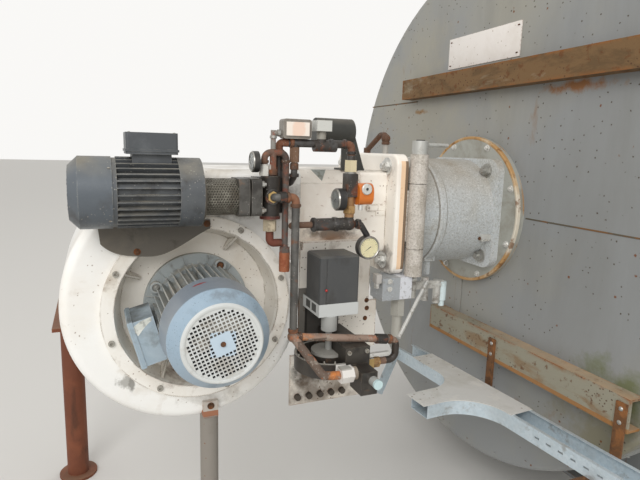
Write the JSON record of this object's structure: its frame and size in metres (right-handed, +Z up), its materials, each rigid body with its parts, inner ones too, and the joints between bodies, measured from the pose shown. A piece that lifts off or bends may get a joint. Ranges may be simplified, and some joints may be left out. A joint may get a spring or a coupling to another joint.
{
  "type": "thermal oil heater",
  "caption": "Horizontal insulated drum heater on saddles with a side-mounted fan burner, oil pump set, oil piping and fittings at its front end.",
  "frame": {"origin": "middle of the front saddle's foot, on the floor", "axes": "+X along the drum, away from the burner; +Z up; the fan motor is on the -Y side"},
  "size_m": [4.9059, 1.9746, 2.345],
  "materials": {
    "drum_paint": "satin, weathered",
    "front_paint": "satin, speckled and rust stained",
    "cream_paint": "gloss, chipped and oil stained",
    "grey_paint": "satin",
    "motor_blue_grey": "semi-gloss",
    "motor_slate": "semi-gloss",
    "rusty_steel": "matte, rusted",
    "channel_paint": "matte, rusted edges",
    "black_steel": "oily",
    "bare_steel": "dull",
    "galvanised": "dull, spangled",
    "cast_silver": "sand cast",
    "black_plastic": "matte",
    "orange_plastic": "gloss",
    "gauge_face": "gloss",
    "perforated_steel": "dull",
    "switch_housing": "matte"
  },
  "bodies": {
    "root": {"drum_shell": "drum_paint", "front_plate": "front_paint", "rear_cover": "drum_paint", "inspection_cover": "drum_paint", "front_saddle": "drum_paint", "rear_saddle": "drum_paint", "flue_outlet": "drum_paint", "oil_inlet": "black_steel", "oil_outlet": "black_steel", "lifting_lugs": "drum_paint", "upper_channel": "channel_paint", "lower_channel": "channel_paint", "tray_straps": "rusty_steel", "cable_tray": "galvanised", "tray_cover": "galvanised", "burner_ring": "front_paint", "mounting_flange": "grey_paint", "blast_tube": "grey_paint", "rear_flange": "cream_paint", "hinge_knuckles": "grey_paint", "hinge_pin": "bare_steel", "burner_housing": "cream_paint", "fan_scroll": "cream_paint", "scroll_cover": "cream_paint", "fan_motor_body": "motor_blue_grey", "fan_motor_cowl": "motor_blue_grey", "fan_terminal_box": "motor_blue_grey", "pump_motor_body": "motor_slate", "pump_motor_cowl": "motor_slate", "pump_terminal_box": "black_plastic", "pump_bracket": "black_steel", "coupling_guard": "perforated_steel", "oil_pump": "black_steel", "loop_pipe": "rusty_steel", "delivery_pipe": "black_steel", "upper_pipe": "black_steel", "pressure_switch": "switch_housing", "nozzle_manifold": "black_steel", "side_gauge": "bare_steel", "solenoid_valve": "orange_plastic", "dial_gauge": "gauge_face", "small_gauge": "bare_steel", "tapping_pipe": "black_steel", "valve_actuator": "black_plastic", "equipment_plate": "cream_paint", "servo_motor": "black_plastic", "lower_pipes": "rusty_steel", "oil_regulator": "black_steel", "ignition_box": "cast_silver", "cable_couplings": "bare_steel", "front_post": "grey_paint", "rear_post": "rusty_steel"}
  },
  "joints": []
}
